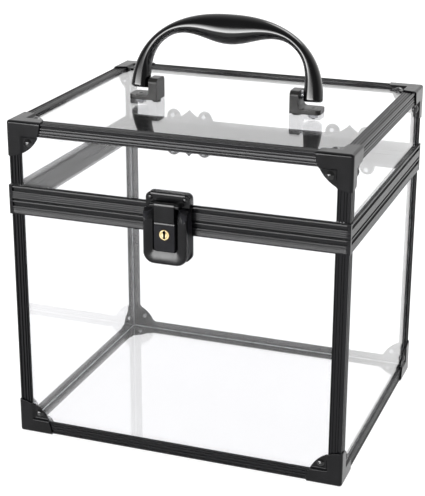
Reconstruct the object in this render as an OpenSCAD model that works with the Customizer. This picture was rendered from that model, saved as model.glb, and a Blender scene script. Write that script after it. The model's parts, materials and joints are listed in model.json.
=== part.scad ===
// Clear card box with an aluminium angle frame, a hinged lid, a key latch and a swing handle.
// Millimetres. The origin is under the middle of the whole outline, on the surface it stands on.
// The front looks along -Y and +Z is up.

/* [Box] */
// Width over the corner protectors
box_w = 250; // [200:1:320]
// Depth over the corner protectors
box_d = 210.5; // [170:0.5:280]
// Height of the seam between body and lid
seam_z = 183.2; // [120:0.1:260]
// Height of the lid over the seam
lid_h = 57.8; // [48:0.1:90]
// Gap between the two rims when the lid is shut
seam_gap = 0.3; // [0.3:0.05:0.8]

/* [Panels] */
// Thickness of the clear sheets
panel_t = 3; // [2:0.5:5]
// Bond line between the edges of two sheets
bond = 0.1; // [0:0.05:0.3]

/* [Angle frame] */
// Leg width of the angles
angle_w = 9.6; // [8:0.1:13]
// Sheet thickness of the angles
angle_t = 1.5; // [1.2:0.1:2.5]
// Radius of the angles' outer edge
angle_r = 1.2; // [0.5:0.1:2]
// Depth of the lines drawn along the angles
line_depth = 0.3; // [0.1:0.05:0.6]
// Width of the lines drawn along the angles
line_w = 0.6; // [0.3:0.05:0.9]

/* [Rims] */
// Height of each rim
rim_h = 10.65; // [9:0.05:14]
// Height of the bead beside the seam
rim_bead = 1.1; // [0.6:0.05:1.6]
// Height of the two deep grooves of a rim
rim_groove = 1.2; // [0.6:0.05:1.5]
// Depth of the two deep grooves of a rim
rim_groove_depth = 0.6; // [0.2:0.05:1]
// Height of the outer bead of a rim
rim_edge = 2.3; // [1.2:0.05:3]
// Number of fine grooves between the deep ones
rim_lines = 4; // [1:1:6]
// Depth of the fine grooves
rim_line_depth = 0.25; // [0.1:0.05:0.4]
// Thickness of the lip inside the sheets
lip_t = 1.2; // [0.8:0.1:2]
// Height of the lip inside the sheets
lip_h = 7; // [6:0.1:8.5]
// Thickness of the webs that join face and lip
web_t = 1.6; // [1:0.1:2.2]
// Height of the tongue on the body's rim
tongue_h = 2; // [1:0.1:2.5]
// Thickness of the tongue on the body's rim
tongue_t = 1.2; // [0.8:0.1:1.4]
// Air over the tongue
tongue_gap = 0.8; // [0.5:0.1:1.5]

/* [Corner protectors] */
// Sheet thickness of the protectors
cap_t = 1; // [0.7:0.1:1.4]
// Reach of a lobe beyond its rivet
cap_reach = 3.5; // [3.4:0.1:7]
// Radius of the outer edges
cap_edge_r = 2; // [1.2:0.1:2.5]
// Clearance between a protector and the edge of an angle
cap_gap = 0.1; // [0.05:0.05:0.3]

/* [Rivets] */
// Radius of a shank
rivet_r = 1.2; // [0.8:0.1:1.5]
// Radius of a corner rivet's domed head
corner_head_r = 3.2; // [2.4:0.1:3.4]
// Height of a corner rivet's domed head
corner_head_h = 1.4; // [0.8:0.1:1.4]
// Radius of the smaller heads on the hinges and the keeper
rivet_head_r = 1.9; // [1.6:0.1:2.2]
// Height of the smaller heads
rivet_head_h = 0.9; // [0.5:0.1:1.2]
// Radius of a set tail
rivet_tail_r = 1.7; // [1.5:0.1:2.2]
// Thickness of a set tail
rivet_tail_h = 0.7; // [0.4:0.1:1]
// Distance of a corner rivet from the step of its lobe
rivet_set = 4.2; // [3.8:0.1:4.8]
// Radial clearance of shanks, screws and fixed pins in their holes
hole_fit = 0.05; // [0.02:0.01:0.1]

/* [Hinges] */
// Distance of each hinge from the middle
hinge_x = 68; // [45:1:80]
// Width of a hinge
hinge_w = 39; // [36:0.5:46]
// Thickness of a leaf
leaf_t = 1.2; // [0.8:0.1:1.6]
// Reach of a leaf's lobes beyond the rim
leaf_over = 7.5; // [6.8:0.1:10]
// Radius of the two round lobes
lobe_r = 5.9; // [5:0.1:6.3]
// Radius of a knuckle
knuckle_r = 2.6; // [2.2:0.1:3.2]
// Number of knuckles, an odd number
knuckles = 5; // [3:2:7]
// Radius of a hinge pin
hinge_pin_r = 1.3; // [1:0.05:1.5]
// Clearance of the knuckles from their neighbours
knuckle_gap = 0.35; // [0.3:0.05:0.6]
// Radial running clearance on the pins
pin_fit = 0.05; // [0.02:0.01:0.1]

/* [Latch] */
// Place of the latch from the middle, positive to the right
latch_x = -2; // [-20:0.5:20]
// Width of the lock case and the keeper
latch_w = 32; // [30:0.5:40]
// Width of an arm of the U-shaped rim
arm_w = 7; // [6.5:0.1:7.4]
// Front of the U-shaped rim from the rim face
case_d = 11; // [10:0.1:14]
// Reach of the lock case below the seam
case_drop = 30.2; // [29:0.1:36]
// Reach of the arms over the seam
case_rise = 9.4; // [8.6:0.1:9.6]
// Inner corner radius of the U-shaped rim
case_in_r = 1.8; // [1:0.1:2.5]
// Rounding of the outer front edge of the U-shaped rim
arm_round = 2; // [1.5:0.1:2.4]
// Drop of the U-shaped rim from its ridge to its inner edge
arm_slope = 4; // [3:0.1:4.4]
// Height of the slopes at the tops of the arms
arm_end = 4.2; // [3:0.1:4.4]
// Radius of the outer corners at the tops of the arms
arm_top_r = 4; // [3:0.1:4.2]
// Thickness of the lock base over the rim
base_t = 1.5; // [1.5:0.1:2]
// Radius of the base plate's lower corners
base_r = 6; // [4:0.1:8]
// Width of the lock block
block_w = 15; // [14:0.1:16]
// Reach of the lock block below the seam
block_drop = 20.4; // [19:0.1:22]
// Front of the lock block from the rim face
block_d = 11; // [10:0.1:11.4]
// Radius of the block's lower corners
block_r = 2; // [1:0.1:3]
// Chamfer on the top edge of the block
block_bevel = 1; // [0.5:0.1:1.5]
// Thickness of the keeper over the lid's rim
keeper_t = 1.1; // [0.8:0.1:1.1]
// Front of the keeper's block from the rim face
keeper_d = 4.4; // [4:0.1:4.6]
// Reach of the keeper over the seam
keeper_rise = 19.2; // [19:0.1:26]
// Radius of the keeper's top corners
keeper_r = 4; // [2:0.1:5]
// Chamfer on the keeper's top edge
keeper_bevel = 1.4; // [0.8:0.1:1.4]
// Distance of a keeper rivet from the keeper's side and top
keeper_rivet_in = 3.4; // [3.4:0.1:4]

/* [Hasp] */
// Width of the hasp
hasp_w = 14.5; // [13.5:0.1:16]
// Thickness of the hasp's plate
hasp_t = 3.6; // [3:0.1:3.8]
// Height of the hasp's axis over the seam
hasp_rise = 11.9; // [11.9:0.1:12.6]
// Distance of the hasp's axis from the rim face
hasp_axis_d = 9.4; // [9:0.1:9.6]
// Radius of the hasp's knuckle
hasp_knuckle_r = 2.2; // [2:0.1:2.4]
// Radius of the hasp's pin
hasp_pin_r = 0.8; // [0.6:0.05:0.9]
// Width of an ear beside the hasp
ear_w = 2.8; // [2:0.1:4]
// Wall of an ear round the hasp's pin
ear_wall = 1; // [0.7:0.05:1.1]
// Width of the eye on the hasp's back
eye_w = 2; // [1.4:0.1:2.1]
// Wall of the eye
eye_wall = 0.6; // [0.5:0.05:0.7]
// Distance of the eye from the hasp's edge
eye_in = 0.9; // [0.8:0.05:1]
// Clearance round moving latch pieces
latch_gap = 0.4; // [0.3:0.05:0.4]

/* [Lock] */
// Radius of the key plug
plug_r = 3.9; // [3.4:0.1:4.2]
// Depth of the key plug's axis below the seam
plug_drop = 8.4; // [8.2:0.1:9]
// Radius at which the plug's crank pin turns
crank_r = 3; // [2.6:0.1:3]
// Radius of the crank pin
crank_pin_r = 0.8; // [0.6:0.05:0.9]
// Thickness of the bolt
bolt_t = 1.2; // [1:0.1:1.2]
// Height of the bolt's bar
bolt_h = 2.6; // [2:0.1:2.8]
// Height of the bar's middle over the seam
bolt_rise = 5.8; // [5.6:0.1:6]
// Clearance round the bolt
bolt_gap = 0.3; // [0.3:0.05:0.35]
// Wall of the right arm beyond the bolt
bolt_cover = 1.7; // [1.6:0.1:2]
// Wall of the bolt's tail beside the crank pin
tail_wall = 0.8; // [0.6:0.1:0.9]
// Thickness of the flange behind the plug
flange_t = 0.9; // [0.6:0.1:1.2]
// Reach of the flange beyond the plug
flange_over = 0.7; // [0.4:0.1:1]
// Height of the block over the pocket behind the plug
neck_h = 3; // [2:0.1:3.2]
// Width of the key slot
slot_w = 1.5; // [1:0.1:1.8]
// Height of the key slot
slot_h = 6.2; // [5:0.1:6.4]
// Radius of the round part of the key slot
slot_r = 1.2; // [0.8:0.1:1.4]
// Depth of the key slot
slot_depth = 2.6; // [1.5:0.1:3]

/* [Lock screws] */
// Radius of a lock screw
lock_screw_r = 1.4; // [1:0.1:1.6]
// Radius of a lock screw's head
lock_head_r = 2.4; // [2:0.1:2.8]
// Height of a lock screw's head
lock_head_h = 1.4; // [1:0.1:1.8]
// Bite of a lock screw in the lock case
lock_bite = 4; // [3:0.1:5]
// Width of a screw's cross recess
cross_w = 0.8; // [0.5:0.1:1.2]

/* [Handle] */
// Width over the legs
handle_w = 148; // [130:1:180]
// Height of the pivot over the top sheet
pivot_lift = 12.5; // [12:0.1:16]
// Rise of the handle's top over the pivot
handle_rise = 53.5; // [46:0.5:70]
// Depth of the arch's centre below the pivot
bail_drop = 8; // [5:0.5:12]
// Drop of the legs' ends below the pivot
leg_drop = 4.5; // [4:0.1:5]
// Height of the grip at its middle
grip_t = 21.9; // [14:0.1:24]
// Depth of the grip at its middle
grip_depth = 17; // [12:0.1:20]
// Thickness of the shoulders
shoulder_t = 7.3; // [7:0.1:11]
// Depth of the shoulders
shoulder_depth = 11; // [9:0.1:14]
// Width of the legs at their ends
leg_t = 14; // [12:0.1:16]
// Depth of the legs at their ends
leg_depth = 12.6; // [10:0.1:13]
// Radius of the handle's pins
handle_pin_r = 2.2; // [1.8:0.1:2.4]
// Length of a pin in its leg
pin_bite = 9.3; // [6:0.1:10]
// Air beyond the end of a pin
pin_end_gap = 0.5; // [0.3:0.1:1]
// Width of the collar on a pin
collar_w = 1; // [0.5:0.1:1.5]
// Air between a collar and its leg
collar_air = 0.6; // [0.5:0.1:0.8]
// Lean of the handle to the back, in degrees
lean = 12.4; // [0:0.1:20]

/* [Handle brackets] */
// Thickness of the upright block
upright_t = 6.8; // [6.6:0.1:8]
// Height of the upright block
upright_h = 16.2; // [16:0.1:20]
// Depth of a bracket
bracket_depth = 15.6; // [14:0.1:20]
// Thickness of the foot
foot_t = 3.4; // [2.8:0.1:3.6]
// Wall of the upright behind a pin
upright_wall = 2; // [1:0.1:3]
// Gap between the upright and the leg
collar_gap = 1.9; // [1.2:0.1:3]
// Fillet between upright and foot
bracket_fillet = 2.5; // [1:0.1:3]
// Rounding of the upright's top corners and the foot's end
bracket_round = 3.5; // [2:0.1:5]
// Radius of the bracket screws
screw_r = 1.6; // [1.3:0.1:1.8]
// Radius of the screw heads
screw_head_r = 3.2; // [2.8:0.1:3.6]
// Height of the screw heads
screw_head_h = 1.6; // [1.2:0.1:2]
// Bite of the lower screw in the upright
upright_bite = 7; // [5:0.1:8]
// Reach of a screw beyond its nut
nut_under = 1; // [0.5:0.1:2]
// Thickness of a nut
nut_h = 2.6; // [2:0.1:3.2]
// Width of a nut across its corners
nut_w = 7.6; // [6.4:0.1:8.4]

/* [Hidden] */
$fn = 48;

// Sides in order round the box, and corners with their directions from the middle
SIDES = ["front", "right", "back", "left"];
CORNERS = ["front_left", "front_right", "back_left", "back_right"];
CORNER_DIRS = [[-1, -1], [1, -1], [-1, 1], [1, 1]];
// Places of the lines drawn along a leg of the angle, as parts of its flat width
ANGLE_LINES = [0.18, 0.42, 0.58, 0.82];

BLACK = [0.13, 0.13, 0.14];
GLOSS_BLACK = [0.05, 0.05, 0.06];
SATIN_GREY = [0.27, 0.27, 0.28];
CLEAR = [0.85, 0.92, 0.95, 0.25];
STEEL = [0.75, 0.76, 0.78];
BRASS = [0.82, 0.68, 0.36];

// A length that is longer than anything it has to cut
far = 2 * (box_w + box_d + seam_z + lid_h);
// A little more than nothing, so that a cut passes its face
past = 0.2;

box_h = seam_z + lid_h;
hasp_front = hasp_axis_d + hasp_knuckle_r;
// The latch reaches further out than the hinges, so the box stands a little behind the origin
axis_d = knuckle_r + knuckle_gap;
latch_reach = max(case_d, block_d + past, hasp_front);
box_y = (latch_reach - axis_d - knuckle_r) / 2;
skin = cap_t + angle_t;
inner = skin + panel_t;
body_edge = seam_z - seam_gap / 2;
lid_edge = seam_z + seam_gap / 2;
rim_depth = inner + bond + lip_t;
groove_ceiling = tongue_h + seam_gap + tongue_gap;
body_sheet_top = body_edge - web_t - bond;
lid_sheet_bottom = lid_edge + groove_ceiling + web_t + bond;
angle_edge = cap_t + angle_w;
step_in = angle_edge + cap_gap;
lobe_in = step_in + cap_t;
rivet_in = lobe_in + rivet_set;
cap_r = rivet_in * sqrt(2) + cap_reach;
hole_r = rivet_r + hole_fit;
top_z = box_h - skin;

knuckle_pitch = hinge_w / knuckles;
leaf_step = rim_h + seam_gap / 2;
leaf_h = leaf_step + leaf_over;
lobe_x = hinge_w / 2 - lobe_r;
lobe_z = leaf_h - lobe_r;
point_r = leaf_t;
leaf_rivet_z = leaf_step + leaf_t + rivet_head_r + bond;

case_top = seam_z + case_rise;
case_bottom = seam_z - case_drop;
case_out_r = case_in_r + arm_w;
case_open = latch_w / 2 - arm_w;
arm_d = case_d - base_t;
rim_low = body_edge - rim_h;
rim_high = lid_edge + rim_h;
block_bottom = seam_z - block_drop;
plug_z = seam_z - plug_drop;
keeper_top = seam_z + keeper_rise;
keeper_low = lid_edge + latch_gap;
keeper_block_low = case_top + latch_gap;
hasp_axis_z = seam_z + hasp_rise;
hasp_back = hasp_front - hasp_t;
hasp_low = body_edge + latch_gap + bolt_gap;
ear_r = hasp_pin_r + ear_wall;

bolt_back = keeper_t + latch_gap + eye_wall + bolt_gap;
bolt_front = bolt_back + bolt_t;
bolt_z = seam_z + bolt_rise;
bolt_low = bolt_z - bolt_h / 2;
bolt_high = bolt_z + bolt_h / 2;
// The key starts at 45 degrees to one side and ends at 45 degrees to the other
crank_x = crank_r * sin(45);
crank_z = plug_z + crank_r * cos(45);
// The bolt's tip rests beside the eye and passes through it when the key turns
eye_x = eye_in - hasp_w / 2;
bolt_tip = eye_x + eye_w + 2 * bolt_gap;
bolt_end = latch_w / 2 - bolt_cover;
tail_half = crank_pin_r + bolt_gap + tail_wall;
flange_r = plug_r + flange_over;
flange_back = bolt_front + bolt_gap;
flange_front = flange_back + flange_t;
pocket_front = flange_front + 2 * pin_fit;
pocket_half = max(crank_x + tail_half, flange_r) + 2 * bolt_gap;
pocket_low = plug_z - flange_r - bolt_gap;
neck_low = body_edge - neck_h;

lock_screw_d = base_t + lock_bite;
// Place from the latch's middle, height, and depth of the seat inside the box
low_screw_z = case_bottom + arm_w / 2;
high_screw_z = body_edge - lip_h / 2 - web_t / 2;
LOCK_SCREWS = [
    [-case_open / 2, low_screw_z, inner], [case_open / 2, low_screw_z, inner],
    [-case_open - arm_w / 2, high_screw_z, rim_depth], [case_open + arm_w / 2, high_screw_z, rim_depth]
];

pivot_z = top_z + pivot_lift;
bail_z = pivot_z - bail_drop;
bail_a = handle_w / 2;
bail_b = handle_rise + bail_drop;
bail_start = asin((bail_drop - leg_drop) / bail_b);
bail_rings = 44;
bail_sides = 20;
bail_power = 2.4;
arch_power = 2.31;
// Angles from the top at which the grip ends, and between which the legs widen
grip_end = 43.3;
leg_from = 46.6;
leg_to = 84.5;
leg_in = handle_w / 2 - leg_t;
upright_out = leg_in - collar_gap;
upright_in = upright_out - upright_t;
foot_out = leg_in + leg_t;
foot_screw_x = leg_in + leg_t / 2;
upright_screw_x = upright_out - upright_t / 2;
pin_in = upright_in + upright_wall;
pin_out = leg_in + pin_bite;

// Length of a side, and the depth of the box behind it
function side_len(i) = i % 2 == 0 ? box_w : box_d;
function side_depth(i) = i % 2 == 0 ? box_d : box_w;

// Draws on a side: X along it, Y inwards from its outer plane, Z up
module on_side(i) {
    translate([0, box_y, 0])
        rotate([0, 0, 90 * i])
            translate([0, -side_depth(i) / 2, 0])
                children();
}

// Draws at a box corner with X, Y and Z all pointing into the box
module at_corner(k, top) {
    dir = CORNER_DIRS[k];
    translate([dir[0] * box_w / 2, box_y + dir[1] * box_d / 2, top ? box_h : 0])
        mirror([dir[0] > 0 ? 1 : 0, 0, 0])
            mirror([0, dir[1] > 0 ? 1 : 0, 0])
                mirror([0, 0, top ? 1 : 0])
                    children();
}

// Draws on the front of the latch: X along it, Y as the height, Z outwards from the rim face
module on_latch() {
    translate([latch_x, box_y - box_d / 2, 0])
        rotate([90, 0, 0])
            children();
}

// Draws on the back: X along it, Y as the height over the hinge axis, Z outwards from the rim face
module on_hinge(x) {
    translate([x, box_y + box_d / 2, seam_z])
        rotate([90, 0, 180])
            children();
}

// Carries a drawing in depth and height along a side
module extrude_along(len) {
    rotate([90, 0, 90])
        linear_extrude(len, center = true)
            children();
}

// Plan of a bar with both ends cut at 45 degrees
module mitre(len) {
    reach = rim_depth + angle_edge;
    polygon([[-len / 2, 0], [len / 2, 0], [len / 2 - reach, reach], [-len / 2 + reach, reach]]);
}

// Quarter plane with its corner rounded
module rounded_quadrant(r) {
    translate([r, 0]) square(far);
    translate([0, r]) square(far);
    translate([r, r]) circle(r);
}

// A box given by two opposite corners
module block(low, high) {
    translate(low) cube(high - low);
}

// Rivets

// Domed rivet along Z, with its head's seat at 0 and its tail behind the grip
module rivet(grip, head_r, head_h) {
    dome_r = (head_r * head_r + head_h * head_h) / (2 * head_h);
    intersection() {
        translate([0, 0, dome_r - head_h]) sphere(dome_r);
        translate([0, 0, -dome_r]) cylinder(r = 2 * head_r, h = dome_r);
    }
    translate([0, 0, -head_h / 2]) cylinder(r = rivet_r, h = grip + head_h / 2);
    translate([0, 0, grip]) cylinder(r = rivet_tail_r, h = rivet_tail_h);
}

// Places what it is given on the three lobes of a corner, along the way in
module on_lobes() {
    translate([rivet_in, rivet_in, angle_t]) children();
    translate([angle_t, rivet_in, rivet_in]) rotate([0, 90, 0]) children();
    translate([rivet_in, angle_t, rivet_in]) rotate([-90, 0, 0]) children();
}

module corner_rivets(top) {
    for (k = [0:3]) at_corner(k, top) on_lobes() rivet(cap_t + panel_t, corner_head_r, corner_head_h);
}

module corner_holes(top) {
    for (k = [0:3])
        at_corner(k, top) on_lobes() translate([0, 0, -past]) cylinder(r = hole_r, h = inner);
}

// Places what it is given on the round lobes of both hinges, along the way in
module on_leaf_lobes(up) {
    for (side = [-1, 1])
        for (lobe = [-1, 1])
            on_hinge(side * hinge_x)
                translate([lobe * lobe_x, up * leaf_rivet_z, leaf_t - skin])
                    rotate([180, 0, 0])
                        children();
}

module leaf_rivets(up) {
    on_leaf_lobes(up) rivet(leaf_t + panel_t, rivet_head_r, rivet_head_h);
}

module leaf_holes(up) {
    on_leaf_lobes(up) translate([0, 0, -past]) cylinder(r = hole_r, h = inner);
}

module on_keeper_rivets() {
    for (side = [-1, 1])
        on_latch()
            translate([side * (latch_w / 2 - keeper_rivet_in), keeper_top - keeper_rivet_in, keeper_d])
                rotate([180, 0, 0])
                    children();
}

module body_rivets() {
    color(STEEL) {
        corner_rivets(false);
        leaf_rivets(-1);
    }
}

module lid_rivets() {
    color(STEEL) {
        corner_rivets(true);
        leaf_rivets(1);
        on_keeper_rivets() rivet(keeper_d + inner, rivet_head_r, rivet_head_h);
    }
}

// Clear sheets

module flat_sheet() {
    half_w = box_w / 2 - skin;
    half_d = box_d / 2 - skin;
    block([-half_w, box_y - half_d, 0], [half_w, box_y + half_d, panel_t]);
}

module bottom_panel() {
    color(CLEAR)
        difference() {
            translate([0, 0, skin]) flat_sheet();
            corner_holes(false);
        }
}

module top_panel() {
    color(CLEAR)
        difference() {
            translate([0, 0, box_h - inner]) flat_sheet();
            corner_holes(true);
            bracket_holes();
        }
}

// Front and back sheets are full width, and the side sheets stand between them
module wall_sheet(i, low, high) {
    half = side_len(i) / 2 - (i % 2 == 0 ? skin : inner + bond);
    on_side(i) block([-half, skin, low], [half, inner, high]);
}

module body_panel(i) {
    color(CLEAR)
        difference() {
            wall_sheet(i, inner + bond, body_sheet_top);
            corner_holes(false);
            if (i == 0) lock_screw_holes();
            if (i == 2) leaf_holes(-1);
        }
}

module lid_panel(i) {
    color(CLEAR)
        difference() {
            wall_sheet(i, lid_sheet_bottom, box_h - inner - bond);
            corner_holes(true);
            if (i == 0) on_keeper_rivets() translate([0, 0, keeper_d]) cylinder(r = hole_r, h = 2 * inner);
            if (i == 2) leaf_holes(1);
        }
}

// Angle frame

// Section of an angle by its distance from two outer planes of the box
module angle_section() {
    flat = angle_w - angle_r;
    difference() {
        translate([cap_t, cap_t])
            intersection() {
                union() {
                    square([angle_w, angle_t]);
                    square([angle_t, angle_w]);
                }
                rounded_quadrant(angle_r);
            }
        for (part = ANGLE_LINES) {
            line_at = cap_t + angle_r + part * flat - line_w / 2;
            translate([line_at, cap_t - past]) square([line_w, line_depth + past]);
            translate([cap_t - past, line_at]) square([line_depth + past, line_w]);
        }
    }
}

// Rail along X at a bottom edge, mitred against the side rails and the posts
module angle_rail(len) {
    intersection() {
        extrude_along(len) angle_section();
        linear_extrude(far, center = true) mitre(len);
        rotate([90, 0, 0]) linear_extrude(far, center = true) mitre(len);
    }
}

module bottom_rail(i) {
    color(BLACK) on_side(i) angle_rail(side_len(i));
}

module top_rail(i) {
    color(BLACK)
        translate([0, 0, box_h])
            mirror([0, 0, 1])
                on_side(i) angle_rail(side_len(i));
}

// Post from a corner of the box to the edge of its rim, mitred against the two rails
module angle_post(len) {
    slope = [[0, 0], [0, len], [len, len]];
    intersection() {
        linear_extrude(len) angle_section();
        rotate([90, 0, 0]) linear_extrude(far, center = true) polygon(slope);
        rotate([90, 0, 90]) linear_extrude(far, center = true) polygon(slope);
    }
}

module body_post(k) {
    color(BLACK) at_corner(k, false) angle_post(rim_low);
}

module lid_post(k) {
    color(BLACK) at_corner(k, true) angle_post(box_h - rim_high);
}

// Rims

// Ribbed face of a rim from its seam edge to its far edge: depth from the outer plane, and height
function rim_face() =
    let (
        low = rim_bead + rim_groove,
        high = rim_h - rim_edge - rim_groove,
        pitch = (high - low) / (rim_lines + 1)
    )
    concat(
        [[0, 0], [0, rim_bead], [rim_groove_depth, rim_bead], [rim_groove_depth, low], [0, low]],
        [
            for (n = [1:rim_lines], step = [-1, 0, 1])
                [step == 0 ? rim_line_depth : 0, low + n * pitch + step * pitch / 4]
        ],
        [[0, high], [rim_groove_depth, high]],
        [[rim_groove_depth, high + rim_groove], [0, high + rim_groove]],
        [[0, rim_h - rim_groove_depth], [rim_groove_depth, rim_h], [skin, rim_h]]
    );

// Section of the body's rim, upside down: face, web, lip and the tongue over the seam
module body_rim_section() {
    lip_out = rim_depth - lip_t;
    tongue_out = skin + (panel_t - tongue_t) / 2;
    tongue_in = tongue_out + tongue_t;
    polygon(concat(
        rim_face(),
        [[skin, web_t], [lip_out, web_t], [lip_out, lip_h], [rim_depth, lip_h], [rim_depth, 0]],
        [[tongue_in, 0], [tongue_in, -tongue_h], [tongue_out, -tongue_h], [tongue_out, 0]]
    ));
}

// Section of the lid's rim: face, lip, and a web that leaves room for the tongue
module lid_rim_section() {
    lip_out = rim_depth - lip_t;
    web_high = groove_ceiling + web_t;
    polygon(concat(
        rim_face(),
        [[skin, web_high], [lip_out, web_high], [lip_out, lip_h], [rim_depth, lip_h], [rim_depth, 0]],
        [[lip_out, 0], [lip_out, groove_ceiling], [skin, groove_ceiling], [skin, 0]]
    ));
}

module rim_bar(len) {
    intersection() {
        extrude_along(len) children();
        linear_extrude(far, center = true) mitre(len);
    }
}

module body_rim(i) {
    color(BLACK)
        difference() {
            on_side(i)
                rim_bar(side_len(i))
                    translate([0, body_edge]) mirror([0, 1]) body_rim_section();
            if (i == 0) lock_screw_holes();
        }
}

module lid_rim(i) {
    color(BLACK)
        on_side(i)
            rim_bar(side_len(i))
                translate([0, lid_edge]) lid_rim_section();
}

// Corner protectors

// Quarter disc as deep as the protector, on the plane Z = 0
module quarter_disc() {
    linear_extrude(skin)
        intersection() {
            circle(cap_r, $fn = 96);
            square(cap_r);
        }
}

// Pressed protector: arms over the angles, and three lobes that are set back onto the sheets
module corner_protector() {
    difference() {
        intersection() {
            union() {
                quarter_disc();
                rotate([90, 0, 90]) quarter_disc();
                rotate([0, -90, -90]) quarter_disc();
            }
            linear_extrude(far) rounded_quadrant(cap_edge_r);
            rotate([90, 0, 90]) linear_extrude(far) rounded_quadrant(cap_edge_r);
            rotate([0, -90, -90]) linear_extrude(far) rounded_quadrant(cap_edge_r);
        }
        block([cap_t, cap_t, cap_t], [far, step_in, step_in]);
        block([cap_t, cap_t, cap_t], [step_in, far, step_in]);
        block([cap_t, cap_t, cap_t], [step_in, step_in, far]);
        block([lobe_in, lobe_in, -far], [far, far, angle_t]);
        block([-far, lobe_in, lobe_in], [angle_t, far, far]);
        block([lobe_in, -far, lobe_in], [far, angle_t, far]);
        on_lobes() translate([0, 0, -past]) cylinder(r = hole_r, h = inner);
    }
}

module corner(k, top) {
    color(BLACK) at_corner(k, top) corner_protector();
}

// Hinges

// Outline of a leaf over the axis: a plate with a round, a pointed and a round lobe
module leaf_outline() {
    translate([-hinge_w / 2, 0]) square([hinge_w, lobe_z]);
    for (side = [-1, 1]) translate([side * lobe_x, lobe_z]) circle(lobe_r);
    point_half = lobe_x - lobe_r;
    polygon([
        [-point_half, lobe_z], [point_half, lobe_z],
        [point_r, leaf_h - point_r], [-point_r, leaf_h - point_r]
    ]);
    translate([0, leaf_h - point_r]) circle(point_r);
}

// Leaf above the axis: flat on the rim, with a step down to the sheet beyond it
module leaf_plate() {
    linear_extrude(leaf_t)
        intersection() {
            leaf_outline();
            translate([-hinge_w, seam_gap / 2]) square([2 * hinge_w, leaf_step + leaf_t - seam_gap / 2]);
        }
    translate([0, 0, -skin])
        linear_extrude(leaf_t)
            intersection() {
                leaf_outline();
                translate([-hinge_w, leaf_step]) square([2 * hinge_w, leaf_h]);
            }
    translate([-hinge_w / 2, leaf_step, -skin]) cube([hinge_w, leaf_t, skin + leaf_t]);
}

// Barrel of the given radius over every second knuckle, from the first or the second on
module barrel(first, r, gap) {
    for (n = [first:2:knuckles - 1])
        translate([-hinge_w / 2 + n * knuckle_pitch + gap / 2, 0, axis_d])
            rotate([0, 90, 0])
                cylinder(r = r, h = knuckle_pitch - gap);
}

// Web between a knuckle and its leaf
module barrel_web(first) {
    for (n = [first:2:knuckles - 1])
        translate([-hinge_w / 2 + n * knuckle_pitch + knuckle_gap / 2, 0, 0])
            cube([knuckle_pitch - knuckle_gap, knuckle_r, axis_d]);
}

// One leaf with its knuckles and its bore, above the axis
module hinge_leaf(first) {
    difference() {
        union() {
            difference() {
                leaf_plate();
                barrel(1 - first, knuckle_r + knuckle_gap, -knuckle_gap);
            }
            barrel(first, knuckle_r, knuckle_gap);
            intersection() {
                barrel_web(first);
                translate([0, seam_gap / 2, 0]) block([-hinge_w, 0, 0], [hinge_w, knuckle_r, axis_d]);
            }
        }
        translate([-hinge_w, 0, axis_d])
            rotate([0, 90, 0])
                cylinder(r = hinge_pin_r + pin_fit, h = 2 * hinge_w);
        for (side = [-1, 1])
            translate([side * lobe_x, leaf_rivet_z, -skin - past])
                cylinder(r = hole_r, h = skin + leaf_t + 2 * past);
    }
}

module body_hinge_leaves() {
    color(BLACK)
        for (side = [-1, 1])
            on_hinge(side * hinge_x) mirror([0, 1, 0]) hinge_leaf(0);
}

module lid_hinge_leaves() {
    color(BLACK)
        for (side = [-1, 1])
            on_hinge(side * hinge_x) hinge_leaf(1);
}

module hinge_pins() {
    color(STEEL)
        for (side = [-1, 1])
            on_hinge(side * hinge_x)
                translate([-hinge_w / 2, 0, axis_d])
                    rotate([0, 90, 0])
                        cylinder(r = hinge_pin_r, h = hinge_w);
}

// Latch, body half

// Outline of the lock base up to a given height, with round lower corners
module base_outline(top) {
    translate([-latch_w / 2, case_bottom + base_r])
        square([latch_w, top - case_bottom - base_r]);
    translate([-latch_w / 2 + base_r, case_bottom])
        square([latch_w - 2 * base_r, base_r]);
    for (side = [-1, 1])
        translate([side * (latch_w / 2 - base_r), case_bottom + base_r]) circle(base_r);
}

// Section of the U-shaped rim: width across it from its inner side, and depth from the base. The slope
// from the inner edge meets the round ridge without a step
module arm_section() {
    ridge = [arm_w - arm_round, arm_d - arm_round];
    edge = [0, arm_d - arm_slope];
    way = edge - ridge;
    turn = atan2(way[1], way[0]) - acos(arm_round / norm(way));
    touch = ridge + arm_round * [cos(turn), sin(turn)];
    polygon([[0, 0], edge, touch, ridge, [arm_w, ridge[1]], [arm_w, 0]]);
    translate(ridge) circle(arm_round);
}

// U-shaped rim from the base outwards: two arms, two quarter turns and the bar between them
module u_rim() {
    turn_z = case_bottom + case_out_r;
    turn_x = latch_w / 2 - case_out_r;
    for (side = [0, 1])
        mirror([side, 0, 0])
            translate([case_open, case_top, 0])
                rotate([90, 0, 0])
                    linear_extrude(case_top - turn_z) arm_section();
    for (side = [-1, 1])
        translate([side * turn_x, turn_z, 0])
            rotate([0, 0, side < 0 ? 180 : 270])
                rotate_extrude(angle = 90)
                    translate([case_in_r, 0]) arm_section();
    translate([0, case_bottom + arm_w, 0])
        mirror([0, 1, 0])
            rotate([90, 0, 90])
                linear_extrude(2 * turn_x, center = true) arm_section();
}

// Lock block from the base outwards, with round lower corners and a bevelled top edge
module lock_block() {
    half = block_w / 2;
    tall = body_edge - block_bottom;
    difference() {
        linear_extrude(block_d - base_t)
            translate([-half, block_bottom]) {
                translate([0, block_r]) square([block_w, tall - block_r]);
                translate([block_r, 0]) square([block_w - 2 * block_r, block_r]);
                for (x = [block_r, block_w - block_r]) translate([x, block_r]) circle(block_r);
            }
        translate([0, body_edge, block_d - base_t])
            rotate([45, 0, 0])
                cube([far, block_bevel * sqrt(2), block_bevel * sqrt(2)], center = true);
    }
}

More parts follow.
